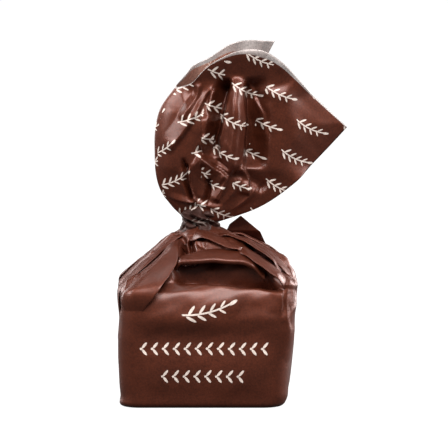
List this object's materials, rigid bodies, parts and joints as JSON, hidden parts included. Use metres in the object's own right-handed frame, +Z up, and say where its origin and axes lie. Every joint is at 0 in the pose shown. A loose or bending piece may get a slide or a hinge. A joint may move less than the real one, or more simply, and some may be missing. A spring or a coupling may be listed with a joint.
{
  "type": "wrapped chocolate truffle",
  "caption": "Square chocolate truffle in a brown printed film, twisted shut at the neck, with the film's end spread above it as an open fan.",
  "frame": {"origin": "on the flat base, straight under the middle of the block's depth and 0.6 mm to the right of the twisted neck", "axes": "+Z up through the block and the fan, printed front towards -Y, the fan's free corner towards +X"},
  "size_m": [0.0394, 0.0294, 0.0602],
  "materials": {
    "brown_film": "satin printed brown film"
  },
  "bodies": {
    "root": {"wrapped_truffle": "brown_film"}
  },
  "joints": []
}
